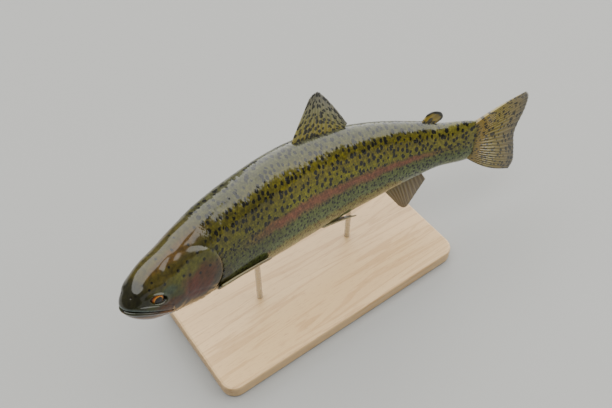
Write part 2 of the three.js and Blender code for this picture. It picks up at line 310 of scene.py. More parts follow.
def triangles(grid):
    """The cells of a grid of points as two triangles each. It takes the points' numbers, or a
    map's values in their places."""
    a, b, c, d = grid[:-1, :-1], grid[:-1, 1:], grid[1:, 1:], grid[1:, :-1]
    return np.stack([a, b, c, a, c, d], 2).reshape(-1, 3, *grid.shape[2:])


def closed_surface(name, points, grids, **maps):
    """Object from grids of point numbers that close together, each with its share of every map.
    Cells squeezed to a line at a pole are left out, and the whole is turned to face outwards: its
    signed volume, the sum of each triangle's with the origin, is made positive."""
    faces = np.concatenate([triangles(grid) for grid in grids])
    whole = (faces != np.roll(faces, 1, 1)).all(1)
    faces = faces[whole]
    a, b, c = (points[faces[:, k]] for k in range(3))
    turn = -1 if (a * np.cross(b, c)).sum() < 0 else 1
    uvs = {}
    for key, parts in maps.items():
        uvs[key] = np.concatenate([triangles(part) for part in parts])[whole][:, ::turn]
    return name, points, faces[:, ::turn], uvs


def with_poles(grid, first, last):
    """A grid with one more row before and after it, each filled with one value or row."""
    row = np.ones_like(grid[:1])
    return np.concatenate([row * first, grid, row * last])


def ring_numbers(rings, around):
    """Numbers of points in rings that close on themselves, with a pole before and after them."""
    last = rings * around
    numbers = np.arange(last).reshape(rings, around)
    return with_poles(np.hstack([numbers, numbers[:, :1]]), last, last + 1)


# ---- Materials ----
def linear(colour):
    """sRGB hex value to a linear colour with alpha."""
    channels = [((colour >> shift) & 255) / 255 for shift in (16, 8, 0)]
    return [c / 12.92 if c <= 0.04045 else ((c + 0.055) / 1.055) ** 2.4 for c in channels] + [1.0]


def add_node(tree, kind, inputs=(), out=0, **settings):
    """Adds a node with its settings and links, and gives its output socket. kind is the node's
    name, and its operation where it has one. inputs are values or sockets, in the node's own
    order or in a dictionary by name or number."""
    kind, _, operation = kind.partition(" ")
    made = tree.nodes.new("ShaderNode" + kind)
    if operation:
        made.operation = operation
    for key, value in settings.items():
        setattr(made, key, value)
    for key, value in inputs.items() if isinstance(inputs, dict) else enumerate(inputs):
        if isinstance(value, bpy.types.NodeSocket):
            tree.links.new(value, made.inputs[key])
        else:
            made.inputs[key].default_value = value
    return made.outputs[out] if len(made.outputs) else made


def new_material(name):
    """Empty material, and the function that adds nodes to it."""
    material = bpy.data.materials.new(name)
    material.use_nodes = True
    material.node_tree.nodes.clear()
    return material, partial(add_node, material.node_tree)


# Settings of nodes: a range that eases in and out, and a mix of colours
EASED = {"interpolation_type": "SMOOTHSTEP"}
COLOURS = {"out": 2, "data_type": "RGBA"}


def set_ramp(socket, stops):
    """Writes (place, hex) stops into a colour ramp and gives its output again."""
    elements = socket.node.color_ramp.elements
    for place, colour in stops[1:-1]:
        elements.new(place).color = linear(colour)
    for end in (0, -1):
        elements[end].position, elements[end].color = stops[end][0], linear(stops[end][1])
    return socket


# Colours by girth share, from the back (0) to the belly (1)
BODY_TONES = [(0, 0x3A3A22), (0.1, 0x3C3C14), (0.18, 0x504A04), (0.3, 0x5A5200), (0.42, 0x646200),
              (0.5, 0x54561A), (0.58, 0x505A24), (0.7, 0x566432), (0.8, 0x626C40), (0.88, 0x767C52),
              (1, 0xCFCDC0)]
HEAD_TONES = [(0, 0x3C360E), (0.12, 0x3C3408), (0.3, 0x3A320A), (0.42, 0x383A0C),
              (0.55, 0x323610), (0.68, 0x30220C), (0.8, 0x44300E), (0.9, 0x8A7444), (1, 0xBCB296)]
# Patches: share of length, girth share, half-length, half-height, colour, strength
PATCHES = [
    (0.12, 0.14, 0.08, 0.075, 0x4C2E06, 0.6), (0.13, 0.37, 0.06, 0.1, 0x58580A, 0.7),
    (0.118, 0.5, 0.03, 0.09, 0x464A1C, 0.6), (0.142, 0.57, 0.052, 0.2, 0x560C06, 0.92),
    (0.074, 0.44, 0.018, 0.07, 0x2E3E34, 0.6), (0.07, 0.62, 0.04, 0.08, 0x4A220A, 0.7),
    (0.014, 0.2, 0.028, 0.5, 0x16170C, 0.85), (0.035, 0.82, 0.07, 0.14, 0x7A4A08, 0.85),
    # The patch at 0.23 of the length, on the front of the trunk behind the head, is painted shade
    (0.185, 0.68, 0.03, 0.16, 0x241A0A, 0.8), (0.23, 0.45, 0.14, 0.5, 0x2E2C08, 0.55),
    (0.84, 0.3, 0.14, 0.36, 0x6C661C, 0.65),
]
SPOT_BLACK = 0x040401
# Two sets of body spots: cells to the decimetre and their stretch, girth shares from none to all,
# least and most radius as a share of a cell, strength
BODY_SPOTS = [(18.5, (1.15, 0.9, 1), (0.54, 0.44), 0.18, 0.36, 0.98),
              (25, (1.15, 0.95, 1), (0.38, 0.5), 0.17, 0.33, 0.96)]
# Marks that the mesh carries: name, colour, strength. The dark crease mark is painted shade in the
# head's slits, pits, seams and round the orbit.
MARKS = [("lip", 0x54625E, 0.75), ("spot", SPOT_BLACK, 0.95), ("crease", 0x100C07, 1)]


def wet_trout_skin(look):
    """Living trout skin: olive pigment with black spots over a silvery layer, a rose stripe and a
    white belly, under a film of mucus that shines like clear lacquer. Zones follow the map Zone
    and patterns the map Flank, so that skin and scales carry the same markings."""
    material, add = new_material("wet trout skin")
    zone = add("UVMap", uv_map="Zone")
    along = add("SeparateXYZ", [zone])
    girth = along.node.outputs["Y"]
    flat = add("UVMap", uv_map="Flank")
    cloud = add("TexNoise", {"Vector": flat, "Scale": 9, "Detail": 3})
    level = add("Math ADD", [girth, add("Math MULTIPLY_ADD", [cloud, 0.09, -0.045])])

    body = set_ramp(add("ValToRGB", [level]), BODY_TONES)
    head = set_ramp(add("ValToRGB", [level]), HEAD_TONES)
    behind = add("MapRange", [along, 0.15, 0.2], **EASED)
    colour = add("Mix", {0: behind, 6: head, 7: body}, **COLOURS)
    # Patches of colour on the head and body; the one on the front of the trunk is painted shade
    for x, y, wide, high, tone, strength in PATCHES:
        offset = add("VectorMath SUBTRACT", [zone, (x, y, 0)])
        offset = add("VectorMath DIVIDE", [offset, (wide, high, 1)])
        away = add("VectorMath LENGTH", [offset], "Value")
        away = add("Math MULTIPLY_ADD", [cloud, 0.9, away])
        patch = add("MapRange", [away, 1.6, 0.9, 0, strength], **EASED)
        colour = add("Mix", {0: patch, 6: colour, 7: linear(tone)}, **COLOURS)

    # Rose stripe along the middle of the side
    stripe = add("Math ABSOLUTE", [add("Math SUBTRACT", [level, 0.5])])
    stripe = add("MapRange", [stripe, 0.074, 0.012, 0, 0.78], **EASED)
    for start, end in ((0.22, 0.36), (0.82, 0.68)):
        stripe = add("Math MULTIPLY", [stripe, add("MapRange", [along, start, end], **EASED)])
    colour = add("Mix", {0: stripe, 6: colour, 7: (*look.rose, 1)}, **COLOURS)

    # Black spots: cells of a loose lattice, each with a blot of its own size. The large ones thin
    # out below the stripe, where smaller ones take over, all of them grow towards the tail, and
    # the stripe itself has hardly any.
    shift = add("TexNoise", {"Vector": flat, "Scale": 42, "Detail": 2}, "Color")
    shift = add("VectorMath SUBTRACT", [shift, (0.5, 0.5, 0.5)])
    loose = add("VectorMath MULTIPLY_ADD", [shift, (0.024,) * 3, flat])
    growth = add("MapRange", [along, 0.2, 0.8, 0.95, 1.2])
    for scale, stretch, fade, least, most, black in BODY_SPOTS:
        squeezed = add("Mapping", {"Vector": loose, "Scale": stretch})
        cell = add("TexVoronoi", {"Vector": squeezed, "Scale": scale, "Randomness": 0.9},
                   voronoi_dimensions="2D")
        chance = add("SeparateColor", [cell.node.outputs["Color"]])
        size = add("MapRange", [chance, 0, 1, least, most])
        size = add("Math MULTIPLY", [size, add("MapRange", [level, *fade], **EASED)])
        size = add("Math MULTIPLY", [size, growth])
        blot = add("Math SUBTRACT", [cell, size])
        blot = add("MapRange", [blot, 0.03, -0.04, 0, black], **EASED)
        for place, low, high in ((level, 0.88, 0.74), (along, 0.165, 0.185), (stripe, 0.62, 0.2)):
            blot = add("Math MULTIPLY", [blot, add("MapRange", [place, low, high], **EASED)])
        colour = add("Mix", {0: blot, 6: colour, 7: (*look.spots, 1)}, **COLOURS)

    # The head's own round spots and its grey-blue lips are marked on the mesh, and so is the
    # painted shade in its creases, pits and slits
    for mark, tone, strength in MARKS:
        share = add("Math MULTIPLY", [add("Attribute", (), "Fac", attribute_name=mark), strength])
        colour = add("Mix", {0: share, 6: colour, 7: linear(tone)}, **COLOURS)

    # Each scale is a little lighter or darker than the next, with a dark rim, and the whole is
    # mottled in blots of about 3 mm
    tone = add("Attribute", (), "Fac", attribute_name="tone")
    mottle = add("TexNoise", {"Vector": flat, "Scale": 34, "Detail": 4, "Roughness": 0.6})
    mottle = add("MapRange", [mottle, 0.33, 0.67, 0.62, 1.44])
    shade = add("Math MULTIPLY", [add("Math MULTIPLY_ADD", [tone, 0.45, 0.5]), mottle])
    colour = add("VectorMath SCALE", {0: colour, "Scale": shade})
    silver = add("MapRange", [level, 0.45, 0.75, 0, 0.15], **EASED)
    # In the creases the coat is thinned, so that the painted shade there does not shine
    crease = add("Attribute", (), "Fac", attribute_name="crease")
    film = add("MapRange", [crease, 0.3, 0.9, 1, 0.15])
    surface = add("BsdfPrincipled", {
        "Base Color": colour, "Metallic": silver, "Roughness": 0.42, "IOR": 1.4,
        "Specular IOR Level": 0.12, "Coat Weight": film, "Coat Roughness": 0.07, "Coat IOR": 1.42})
    add("OutputMaterial", {"Surface": surface})
    return material


def trout_iris():
    """Trout's eye: a blue-black lens in a brassy iris with fine dark flecks, a dark outer ring and
    a clear cornea that catches the light. The map Gaze is the place on the eye seen from its
    side, from -1 to 1."""
    material, add = new_material("trout iris under cornea")
    gaze = add("UVMap", uv_map="Gaze")
    away = add("VectorMath LENGTH", [add("VectorMath ADD", [gaze, LENS_OFFSET])], "Value")
    flecks = add("TexNoise", {"Vector": gaze, "Scale": 14, "Detail": 4})
    away = add("Math MULTIPLY_ADD", [flecks, 0.06, away])
    ring = set_ramp(add("ValToRGB", [away]), IRIS_TONES)
    speck = add("MapRange", [flecks, 0.52, 0.68, 0, 0.6], **EASED)
    ring = add("Mix", {0: speck, 6: ring, 7: linear(0x4A2C0C)}, **COLOURS)
    # Painted shade: the iris is darker towards its bottom and brighter at its top, as if lit from
    # above
    lit = add("MapRange", [add("SeparateXYZ", [gaze], "Y"), -0.5, 0.25, 0.3, 1], **EASED)
    ring = add("VectorMath SCALE", {0: ring, "Scale": lit})
    metal = add("MapRange", [away, 0.46, 0.5, 0, 0.4])
    surface = add("BsdfPrincipled", {
        "Base Color": ring, "Metallic": metal, "Roughness": 0.35, "Specular IOR Level": 0.1,
        "Coat Weight": 1, "Coat Roughness": 0.02, "Coat IOR": 1.36})
    add("OutputMaterial", {"Surface": surface})
    return material


# Iris: distance from the lens's middle, colour; and how far its middle lies from the eye's
IRIS_TONES = [(0, 0x04070C), (0.45, 0x04070C), (0.48, 0xB8842A), (0.56, 0xB4640F),
              (0.66, 0x84400E), (0.74, 0x3A240C), (1, 0x15120C)]
LENS_OFFSET = (0.06, 0.2, 0)


def fin_web(name, tones, spots, cells, most, lead, edge):
    """Fin web stretched over horny rays: thin wet skin, lighter along the rays, with tones from
    root (0) to margin (1). Black spots of that strength sit in cells, so many to a ray and to the
    fin's height, with a radius of most of a cell at most. lead and edge are how pale the leading
    ray and how dark the margin is. The map Rays counts the rays and runs from root to margin."""
    material, add = new_material(name)
    flat = add("UVMap", uv_map="Rays")
    across = add("SeparateXYZ", [flat])
    out = across.node.outputs["Y"]
    web = add("UVMap", uv_map="Flank")
    cloud = add("TexNoise", {"Vector": web, "Scale": 30, "Detail": 3})
    drift = add("Math ADD", [add("Math MULTIPLY_ADD", [cloud, 0.2, -0.1]), out])
    colour = set_ramp(add("ValToRGB", [drift]), tones)
    wave = add("Math COSINE", [add("Math MULTIPLY", [across, 2 * math.pi])])
    ray = add("MapRange", [wave, -0.2, 0.9, 0, 0.2], **EASED)
    front = add("MapRange", [across, 1.3, 0.3, 0, lead], **EASED)
    loose = add("Mapping", {"Vector": flat, "Scale": (*cells, 1)})
    shift = add("TexNoise", {"Vector": web, "Scale": 60}, "Color")
    loose = add("VectorMath MULTIPLY_ADD", [shift, (0.5,) * 3, loose])
    cell = add("TexVoronoi", {"Vector": loose, "Scale": 1, "Randomness": 0.8},
               voronoi_dimensions="2D")
    chance = add("SeparateColor", [cell.node.outputs["Color"]])
    size = add("MapRange", [chance, 0, 1, 0.45 * most, most])
    blot = add("MapRange", [add("Math SUBTRACT", [cell, size]), 0.06, -0.06, 0, spots], **EASED)
    rim = add("MapRange", [drift, 0.78, 0.9, 0, edge], **EASED)
    for share, tone in ((ray, 0x9A9062), (front, 0x6E6848), (blot, SPOT_BLACK), (rim, 0x11110C)):
        colour = add("Mix", {0: share, 6: colour, 7: linear(tone)}, **COLOURS)
    surface = add("BsdfPrincipled", {
        "Base Color": colour, "Roughness": 0.45, "IOR": 1.4, "Coat Weight": 0.7,
        "Coat Roughness": 0.15, "Coat IOR": 1.4})
    add("OutputMaterial", {"Surface": surface})
    return material


def oiled_maple():
    """Maple, planed and oiled: pale even wood with fine brown grain lines about 3 mm apart and
    short pore flecks, under a soft sheen."""
    material, add = new_material("oiled maple")
    place = add("TexCoord", (), "Object")
    long = add("Mapping", {"Vector": place, "Scale": (5, 85, 85)})
    warp = add("TexNoise", {"Vector": long, "Scale": 1, "Detail": 4, "Distortion": 0.6})
    rings = add("Math SINE", [add("Math MULTIPLY", [warp, 34])])
    grain = add("MapRange", [rings, 0.2, 1, 0, 0.4], **EASED)
    colour = add("Mix", {0: warp, 6: linear(0xC4A67A), 7: linear(0xB08E60)}, **COLOURS)
    fine = add("Mapping", {"Vector": place, "Scale": (120, 1800, 1800)})
    pores = add("TexNoise", {"Vector": fine, "Scale": 1, "Detail": 1})
    pore = add("MapRange", [pores, 0.62, 0.72, 0, 0.4])
    for share, tone in ((grain, 0x96703F), (pore, 0x7E5A34)):
        colour = add("Mix", {0: share, 6: colour, 7: linear(tone)}, **COLOURS)
    rough = add("MapRange", [pores, 0.3, 0.7, 0.38, 0.52])
    surface = add("BsdfPrincipled", {
        "Base Color": colour, "Roughness": rough, "IOR": 1.5, "Coat Weight": 0.15,
        "Coat Roughness": 0.3})
    add("OutputMaterial", {"Surface": surface})
    return material


def brushed_steel():
    """Stainless steel rod, brushed round: fine hoops of lighter and darker gloss, about 0.3 mm
    apart, drawn coarse enough to show."""
    material, add = new_material("brushed stainless steel")
    hoops = add("Mapping", {"Vector": add("TexCoord", (), "Object"), "Scale": (60, 60, 3000)})
    streak = add("TexNoise", {"Vector": hoops, "Scale": 1, "Detail": 2})
    rough = add("MapRange", [streak, 0.3, 0.7, 0.22, 0.4])
    colour = add("Mix", {0: streak, 6: linear(0xB4B7BA), 7: linear(0xCDCFD1)}, **COLOURS)
    surface = add("BsdfPrincipled", {"Base Color": colour, "Metallic": 1, "Roughness": rough})
    add("OutputMaterial", {"Surface": surface})
    return material


# ---- Skin ----
def relief(x, y, z):
    """How far the skin stands out from the plain body, in mm, and its marks. Each is a sum of
    bell curves and steps over distances to the head's lines in the side view."""
    out = np.zeros_like(x)
    on_head = smooth(HEAD_END, HEAD_END - 8, x)

    # Mouth: a slit under the lip, the lower lip's roll, and the long upper lip plate
    end = MOUTH[-1][0]
    slit = np.where(x < end + 1, z - line_height(np.clip(x, 0, end), MOUTH), 9)
    rear = smooth(end + 2, end - 1, x)
    out -= 1.5 * hump(slit, 0.6) * rear
    out += 0.5 * hump(slit + 1.9, 1.1) * rear
    crease_shades = [hump(slit, 0.5) * rear]
    above = z - line_height(np.clip(x, LIP_TOP[0][0], end), LIP_TOP)
    out += 0.7 * smooth(0.5, -0.3, above) * smooth(-0.2, 0.3, slit) * smooth(3, 9, x) * rear
    crease_shades += [0.5 * hump(above - 0.5, 0.5) * smooth(6, 12, x) * rear]
    lip = hump(slit - 1.2, 0.9) * smooth(27, 18, x)
    crease_shades += [0.6 * hump(distance_to(x, z, MOUTH_CORNER, 8), 0.6)]

    # Orbit: a low rim round the eyeball, and inside it the skin lies just under the ball
    dx, dz = x - ORBIT_X, z - ORBIT_Z
    level = math.cos(ORBIT_TILT) * dx + math.sin(ORBIT_TILT) * dz
    raised = math.cos(ORBIT_TILT) * dz - math.sin(ORBIT_TILT) * dx
    ring = np.hypot(level / ORBIT_ALONG, raised / ORBIT_UP)
    side = smooth(0.3, 0.55, np.abs(y) / np.maximum(flank(x), 1))
    out += (0.15 + 0.5 * smooth(-1, 4, raised)) * hump((ring - 1.25) * 4, 1.3) * side
    out -= 0.2 * hump((ring - 1.9) * 4, 1.4) * side
    reach = np.minimum(np.hypot(x - EYE_X, z - EYE_Z) / EYE_RADIUS, 1)
    ball = EYE_OUTER - EYE_DEPTH * (1 - np.sqrt(1 - reach**2)) + EYE_SLANT * (x - EYE_X)
    under = smooth(1.26, 0.97, ring) * side
    out = out * (1 - under) + (ball - BALL_GAP - np.abs(y)) * under
    crease_shades += [0.85 * smooth(1.3, 1.06, ring) * side]
    crease_shades += [0.3 * hump((ring - 1.5) * 4, 1.6) * side]

    for px, share, radius in NOSTRILS:
        centre = on_body(px, share)
        pit = np.sqrt((x - px) ** 2 + (np.abs(y) + centre[1]) ** 2 + (z - centre[2]) ** 2)
        out -= 0.15 * hump(pit, radius)
        crease_shades += [hump(pit, radius)]

    for line, depth, wide, dark, narrow in SEAMS:
        away = distance_to(x, z, line)
        out -= depth * hump(away, wide)
        crease_shades += [dark * hump(away, narrow)]

    # The free rear edge of the gill cover, with a groove behind it
    behind = gill_distance(x, z)
    span = smooth(24, 17, z) * smooth(30, 44, x)
    out += 0.5 * smooth(-18, -3, behind) * smooth(1.4, -1.4, behind) * span
    out -= 0.4 * hump(behind - 2, 1.8) * smooth(-0.4, 1.4, behind) * span
    crease_shades += [0.5 * hump(behind - 0.7, 1) * smooth(12, -6, z) * span]

    # Brow ridge over the eye, and faint rays under the throat
    out += 0.6 * hump(distance_to(x, z, BROW), 2.2) * side * smooth(38, 24, x)
    rays = np.sin(np.arctan2(z + 2, x - 38) * 46)
    out += 0.18 * rays * (hump(behind + 4, 3.5) * smooth(-14, -22, z) * smooth(30, 40, x))

    spot = np.zeros_like(x)
    for px, share, radius in HEAD_SPOTS:
        centre = on_body(px, share)
        for mirror in (1, -1):
            far = np.sqrt((x - px) ** 2 + (y - mirror * centre[1]) ** 2 + (z - centre[2]) ** 2)
            spot = np.maximum(spot, smooth(radius + 0.35, radius - 0.35, far))
    # The creases are painted shade: dark in the mouth's slit and corner, the lip plate's edge, the
    # orbit, the nostrils, the seams and behind the gill cover
    crease = np.max(crease_shades, 0)
    return out * on_head, np.clip(crease, 0, 1) * on_head, np.clip(lip, 0, 1) * (1 - crease), spot


# Gap between the eyeball and the skin under it
BALL_GAP = 0.4
# Nostril pits, two on each side: place x, girth share, radius
NOSTRILS = [(6, 0.15, 0.9), (8.2, 0.2, 0.8)]
# Seams of the cheek and the gill cover's plates: line, depth, half-width, and the strength and
# half-width of the painted shade along them
SEAMS = [(CHEEK_EDGE, 0.16, 1.8, 0.2, 1.1), (COVER_SEAM, 0.14, 1.6, 0.15, 1)]
# Round black spots of the head: place x, girth share, radius
HEAD_SPOTS = [
    (41.1, 0.299, 1.2), (43.7, 0.383, 1.15), (48.7, 0.418, 1.2), (28.2, 0.335, 1.2),
    (17, 0.277, 1), (20.8, 0.226, 0.9), (14.8, 0.167, 0.9), (50, 0.283, 1.25),
    (59.9, 0.274, 1.2), (62.9, 0.369, 1.25), (33, 0.06, 0.9), (45.5, 0.1, 1),
    (53, 0.03, 0.9), (57, 0.17, 1.1), (67.5, 0.1, 1), (69, 0.25, 1.2),
    (71.5, 0.36, 1.1), (57.5, 0.47, 1.1), (66, 0.46, 1.1), (36.5, 0.21, 0.9),
]
# Rings of the skin's mesh on the head and behind it, points round each, and its two poles
HEAD_RINGS, BODY_RINGS, AROUND = 222, 73, 320
SKIN_END = BODY_END - 1.5
SKIN_POLES = [[0, 0, 0], [BODY_END - 0.3, 0, 1]]
SCALE_DEPTH = 0.4


def unwrap(x, share):
    """Place on the skin's unwrap, inside its margins: along by share of length, and round by
    signed girth share."""
    return np.stack([0.03 + 0.94 * x / LENGTH, 0.5 + 0.46 * share], -1)


def skin_maps(x, share, bake):
    """The maps of skin and scales: Flank, decimetres along the body, and round it from the middle
    of the back; OFBake, the unwrap; Zone, shares of length and half girth."""
    flank_map = np.stack([x, share * half_girth(x)], -1) / 100
    return {"Flank": flank_map, "OFBake": bake, "Zone": np.stack([x / LENGTH, np.abs(share)], -1)}


class TroutLook(bpy.types.PropertyGroup):
    """Sizes and colours that a user would change."""

    scale_pitch: FloatProperty(
        name="Scale spacing", description="Distance between scales along the thickest part",
        default=0.0025, min=0.0015, max=0.006, subtype="DISTANCE", unit="LENGTH")
    scale_rows: IntProperty(
        name="Scale rows", description="Rows of scales from the back to the belly on one side",
        default=44, min=10, max=60)
    rose: FloatVectorProperty(
        name="Stripe", description="Colour of the stripe along the side",
        default=linear(0x72382A)[:3], min=0, max=1, subtype="COLOR")
    spots: FloatVectorProperty(
        name="Spots", description="Colour of the body's spots",
        default=linear(SPOT_BLACK)[:3], min=0, max=1, subtype="COLOR")
    floor: FloatVectorProperty(
        name="Floor", description="Colour of the paper that the model stands on",
        default=linear(0x8A8A88)[:3], min=0, max=1, subtype="COLOR")
    seed: IntProperty(name="Seed", description="Seed of the small irregularities", default=7)


class TROUT_OT_skin(bpy.types.Operator):
    """Builds the one skin that covers the head, trunk and tail stalk"""

    bl_idname = "trout.skin"
    bl_label = "Skin"

    def execute(self, context):
        front = HEAD_END * (np.arange(1, HEAD_RINGS + 1) / HEAD_RINGS) ** 1.25
        rear = HEAD_END + (SKIN_END - HEAD_END) * np.arange(1, BODY_RINGS + 1) / BODY_RINGS
        x, share = np.meshgrid(np.concatenate([front, rear]), np.linspace(-1, 1, AROUND + 1),
                               indexing="ij")
        base = on_body(x, share, -SCALE_DEPTH * smooth(60, HEAD_END, x))
        normal = np.cross(np.gradient(base, axis=1), np.gradient(base, axis=0))
        normal /= np.linalg.norm(normal, axis=-1, keepdims=True)
        out, crease, lip, spot = relief(base[..., 0], base[..., 1], base[..., 2])
        base = base + normal * out[..., None]
        points = bend(np.concatenate([base[:, :-1].reshape(-1, 3), SKIN_POLES]))
        maps = skin_maps(x, share, unwrap(x, share))
        maps = {key: [with_poles(grid, grid[:1], grid[-1:])] for key, grid in maps.items()}
        # Each mark with its value at the snout; at the tail it is half as much
        marks = {"crease": (crease, 1), "lip": (lip, 0), "spot": (spot, 0),
                 "tone": (0 * x + 0.5, 0.5)}
        values = {key: np.append(grid[:, :-1].ravel(), [end, end * 0.5])
                  for key, (grid, end) in marks.items()}
        shape = closed_surface("skin", points, [ring_numbers(len(x), AROUND)], **maps)
        nodes = ["head", "lower_jaw", "upper_lip_left", "upper_lip_right", "gill_cover_left",
                 "gill_cover_right", "trunk_front", "trunk_rear", "tail_stalk"]
        place_piece(new_object(*shape, values), skin_material(), "body_skin", *nodes)
        return {"FINISHED"}


def skin_material():
    """The skin's material, made once for the skin and its scales."""
    return bpy.data.materials.get("wet trout skin") or wet_trout_skin(bpy.context.scene.trout)


# ---- Scales ----
# Rim of one scale: place from its front (0) to its free rear edge (1), and place across
SCALE_RIM = [(0.08, 0.3), (0.5, 0.5), (0.86, 0.36), (1.0, 0.0), (0.86, -0.36), (0.5, -0.5),
             (0.08, -0.3)]
# Its middle above and below, how far they stand off, and the tones of rim, top and underside
SCALE_MIDDLES, SCALE_BULGE = [(0.64, 0.0), (0.5, 0.0)], [0.05, -0.1]
RIM_TONE, MIDDLE_TONES = -0.3, [0.5, 0]
# Length in steps and width in rows, so that scales overlap, and a scale's patch on the unwrap
SCALE_LONG, SCALE_WIDE, SCALE_PATCH = 1.7, 1.9, 0.003
NAPE, COVER_GAP, THROAT_SHARE, THROAT_END, LATERAL_LINE = 56, 2.4, 0.8, 66, 0.47


def scale_coat(name, side, look):
    """Overlapping round-edged scales on one side. Their centres stand in rows of equal girth
    share, every other row half a step on, and the step shrinks with the girth. Each scale is a
    thin lens that rises in a straight line from the skin at its front to its free rear edge."""
    fine = np.linspace(NAPE, SKIN_END, 800)
    step = look.scale_pitch * 1000 * (half_girth(fine) / HALF_GIRTH.max()) ** 0.8
    count = np.concatenate([[0], np.cumsum(np.diff(fine) / step[1:])])
    row, column = np.meshgrid(np.arange(look.scale_rows), np.arange(int(count[-1])), indexing="ij")
    row, column = row.ravel(), column.ravel()
    rng = np.random.default_rng(look.seed + (side > 0))
    column = column + 0.5 * (row % 2) + rng.uniform(-0.06, 0.06, len(row))
    x = np.interp(column, count, fine)
    share = side * (row + 0.5 + rng.uniform(-0.05, 0.05, len(row))) / look.scale_rows
    height = on_body(x, share)[:, 2]
    # None on the head, at the gill cover's edge or on the throat
    nape = NAPE + 1 + 22 * np.minimum(np.abs(share), 0.3)
    keep = (x > nape) & (gill_distance(x, height) > COVER_GAP)
    keep &= (np.abs(share) < THROAT_SHARE) | (x > THROAT_END)
    x, share = x[keep], share[keep]
    long = np.interp(x, fine, step)[:, None] * SCALE_LONG
    wide = SCALE_WIDE / look.scale_rows

    edge = len(SCALE_RIM)
    place = np.array(SCALE_RIM + SCALE_MIDDLES)
    rise = SCALE_DEPTH * (place[:, 0] - 1) + np.array([0] * edge + SCALE_BULGE)
    # Each lies a little askew and sinks a little at its rear
    askew = rng.normal(0, 0.055, (len(x), 1)) * place[:, 1] * 2
    rise = rise + askew - rng.uniform(0, 0.12, (len(x), 1)) * place[:, 0]
    px = np.minimum(x[:, None] + (place[:, 0] - 0.5) * long, BODY_END - 0.6)
    ps = share[:, None] + place[:, 1] * wide
    rise = rise * smooth(NAPE, NAPE + 8, px) - 0.02
    points = on_body(px, (ps + 1) % 2 - 1, rise)
    rim = np.arange(edge)
    ahead, middle = (rim + 1) % edge, np.full(edge, edge)
    fan = np.stack([[middle, rim, ahead], [middle + 1, ahead, rim]]).swapaxes(1, 2).reshape(-1, 3)
    faces = (np.arange(len(x))[:, None, None] * len(place) + fan).reshape(-1, 3)
    patch = unwrap(x, share)[:, None, :] + (place - (0.5, 0)) * SCALE_PATCH
    uvs = {key: grid.reshape(-1, 2)[faces] for key, grid in skin_maps(px, ps, patch).items()}
    line = np.abs(np.abs(share) - LATERAL_LINE) < 0.5 / look.scale_rows
    tone = rng.uniform(0, 1, len(x)) - 0.3 * line
    values = {"tone": tone[:, None] + np.array([RIM_TONE] * edge + MIDDLE_TONES)}
    sharp = np.tile(np.arange(len(place)) < edge, len(x))
    return new_object(name, bend(points).reshape(-1, 3), faces, uvs, values, sharp)


class TROUT_OT_scales(bpy.types.Operator):
    """Lays the coat of scales over both sides"""

    bl_idname = "trout.scales"
    bl_label = "Scales"

    def execute(self, context):
        for name, side in (("scales_left", 1), ("scales_right", -1)):
            place_piece(scale_coat(name, side, context.scene.trout), skin_material(), "body_skin")
        return {"FINISHED"}


# ---- Eyes ----
EYE_RINGS, EYE_AROUND = 32, 64


class TROUT_OT_eyes(bpy.types.Operator):
    """Builds the two eyeballs in their orbits"""

    bl_idname = "trout.eyes"
    bl_label = "Eyes"

    def execute(self, context):
        material = trout_iris()
        for name, side in (("left", -1), ("right", 1)):
            # Flattened ball, slanted so that it follows the cheek: rings by the angle from its
            # outermost point, and by the angle round it
            tilt, turn = np.meshgrid(np.linspace(0, math.pi, EYE_RINGS + 2)[1:-1],
                                     np.linspace(0, 2 * math.pi, EYE_AROUND + 1), indexing="ij")
            gaze = np.stack([np.sin(tilt) * np.cos(turn), np.sin(tilt) * np.sin(turn)], -1)
            centre = np.array([EYE_X, side * (EYE_OUTER - EYE_DEPTH), EYE_Z])
            size = np.array([EYE_RADIUS, side * EYE_DEPTH, EYE_RADIUS])
            ball = np.stack([gaze[..., 0], np.cos(tilt), gaze[..., 1]], -1)[:, :-1].reshape(-1, 3)
            points = centre + np.concatenate([ball, [[0, 1, 0], [0, -1, 0]]]) * size
            points[:, 1] += side * EYE_SLANT * (points[:, 0] - EYE_X)
            numbers = ring_numbers(EYE_RINGS, EYE_AROUND)
            shape = closed_surface("eyeball_" + name, bend(points), [numbers],
                                   Gaze=[with_poles(gaze, 0, 0)])
            place_piece(new_object(*shape), material, "eye", "eye_" + name)
        return {"FINISHED"}


# ---- Fins ----
def top_at(x, sink=2.5):
    """Point of the back's outline, sunk a little."""
    return (x, float(back(x)) - sink)


def bottom_at(x, sink=2.5):
    """Point of the belly's outline, sunk a little."""
    return (x, sink - float(belly(x)))


RAY_COLUMNS, FIN_ROWS = 10, 44
# Depth of the notches between rays as a share, width of the round edge and sway in mm
FIN_NOTCH, FIN_EDGE, FIN_SWAY = 0.006, 0.9, 0.5
# Each fin: root and margin curves in its own plane, thickness at both, number of rays
DORSAL = dict(root=[top_at(168), top_at(194), top_at(219)],
              margin=[(187, 74), (191, 77.3), (195.5, 76.6), (208, 62.5), (222, 43)],
              thick=3.4, thin=0.8, rays=12)
ADIPOSE = dict(root=[top_at(294, 3), top_at(299, 3), top_at(304, 3)],
               margin=[(300, 32.2), (306.5, 35), (313.5, 33.4), (316.6, 27.6), (311.5, 24)],
               thick=3, thin=1.4, rays=3)
ANAL = dict(root=[bottom_at(264), bottom_at(283), bottom_at(303)],
            margin=[(287, -57), (292, -60), (297, -58), (305, -46), (311, -33)],
            thick=3.2, thin=0.8, rays=11)
CAUDAL = dict(root=[(347, 17.5), (351, 10.5), (351, 1), (351, -9), (347, -15.5)],
              margin=[(403.5, 40.2), (407.8, 35), (406, 23), (399.5, 2), (404.5, -18), (407, -31),
                      (402.5, -39)],
              thick=8.2, thin=1, rays=24, bow=3.6)
